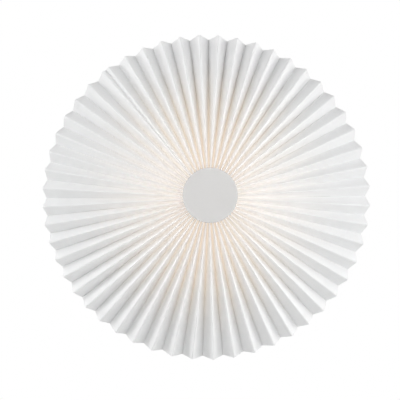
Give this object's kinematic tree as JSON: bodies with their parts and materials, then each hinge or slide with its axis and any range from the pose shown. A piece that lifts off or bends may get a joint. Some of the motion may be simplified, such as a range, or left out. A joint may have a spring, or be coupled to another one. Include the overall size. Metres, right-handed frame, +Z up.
{
  "type": "flush mount wall sconce",
  "caption": "Round flush wall light: a pleated white cone shade held at its middle by a flat round cap, over a wall plate with two screw-in bulbs.",
  "frame": {"origin": "on the wall, behind the middle of the light, midway between the two wall-screw slots", "axes": "+Y into the wall, -Y out to the front of the light, +Z up, +X to the right as seen from the front"},
  "size_m": [0.3995, 0.1266, 0.3996],
  "materials": {
    "pleated_sheet": "white laminated pleating sheet, translucent, faint fibre texture",
    "painted_cap": "matt off-white powder coat",
    "painted_plate": "white powder coat",
    "painted_wire": "white powder coat",
    "zinc_steel": "zinc-plated steel",
    "nickel_shell": "nickel-plated screw shell",
    "brass": "bare brass",
    "hub_plastic": "moulded, satin",
    "terminal_plastic": "moulded polyamide",
    "holder_plastic": "moulded, glossy",
    "bulb_plastic": "moulded, glossy",
    "black_insulator": "black, glossy",
    "grommet_rubber": "matt rubber",
    "tape": "adhesive tape",
    "fibre": "vulcanised fibre",
    "live_insulation": "brown insulation",
    "neutral_insulation": "blue insulation",
    "earth_insulation": "green and yellow insulation",
    "opal_dome": "opal diffuser, lit warm white"
  },
  "bodies": {
    "base": {"back_plate": "painted_plate", "cable_grommet": "grommet_rubber", "terminal_block": "terminal_plastic", "terminal_sleeves": "brass", "terminal_screws": "zinc_steel", "block_screws": "zinc_steel", "earth_screw": "brass", "earth_washer": "zinc_steel", "earth_lug": "zinc_steel", "earth_wire": "earth_insulation", "live_wires": "live_insulation", "neutral_wires": "neutral_insulation", "holder_bracket": "zinc_steel", "upper_holder_body": "holder_plastic", "upper_holder_sleeve": "brass", "upper_holder_contact": "brass", "lower_holder_body": "holder_plastic", "lower_holder_sleeve": "brass", "lower_holder_contact": "brass", "holder_nipples": "zinc_steel", "holder_nuts": "zinc_steel", "centre_rod": "zinc_steel", "rod_nuts": "zinc_steel", "rod_washers": "zinc_steel", "carrier_plate": "painted_wire", "carrier_arms": "painted_wire", "carrier_ring": "painted_wire"},
    "shade": {"pleated_shade": "pleated_sheet", "seam_tape": "tape", "hub_core": "hub_plastic", "hub_ring": "hub_plastic"},
    "cap_washer": {"cap_washer": "fibre"},
    "cap": {"cap": "painted_cap", "cap_insert": "brass"},
    "upper_bulb_tip": {"upper_bulb_contact": "zinc_steel", "upper_bulb_insulator": "black_insulator"},
    "upper_bulb": {"upper_bulb_shell": "nickel_shell", "upper_bulb_housing": "bulb_plastic", "upper_bulb_dome": "opal_dome"},
    "lower_bulb_tip": {"lower_bulb_contact": "zinc_steel", "lower_bulb_insulator": "black_insulator"},
    "lower_bulb": {"lower_bulb_shell": "nickel_shell", "lower_bulb_housing": "bulb_plastic", "lower_bulb_dome": "opal_dome"}
  },
  "joints": [
    {"name": "shade_lift", "type": "slide", "parent": "base", "child": "shade", "axis": [0, -1, 0], "range_m": [0, 0.12]},
    {"name": "cap_travel", "type": "slide", "parent": "shade", "child": "cap_washer", "axis": [0, -1, 0], "range_m": [0, 0.00801]},
    {"name": "cap_spin", "type": "hinge", "parent": "cap_washer", "child": "cap", "pos_m": [0, 0, 0], "axis": [0, -1, 0], "range_deg": [0, 2880]},
    {"name": "upper_bulb_travel", "type": "slide", "parent": "base", "child": "upper_bulb_tip", "axis": [0, 0, 1], "range_m": [0, 0.01693]},
    {"name": "upper_bulb_spin", "type": "hinge", "parent": "upper_bulb_tip", "child": "upper_bulb", "pos_m": [0, -0.037, 0], "axis": [0, 0, 1], "range_deg": [0, 2160]},
    {"name": "lower_bulb_travel", "type": "slide", "parent": "base", "child": "lower_bulb_tip", "axis": [0, 0, -1], "range_m": [0, 0.01693]},
    {"name": "lower_bulb_spin", "type": "hinge", "parent": "lower_bulb_tip", "child": "lower_bulb", "pos_m": [0, -0.037, 0], "axis": [0, 0, -1], "range_deg": [0, 2160]}
  ],
  "couplings": [
    {"joint": "cap_travel", "follows": "cap_spin", "m_per_rad": 0.00015915},
    {"joint": "upper_bulb_travel", "follows": "upper_bulb_spin", "m_per_rad": 0.00044882},
    {"joint": "lower_bulb_travel", "follows": "lower_bulb_spin", "m_per_rad": 0.00044882}
  ]
}
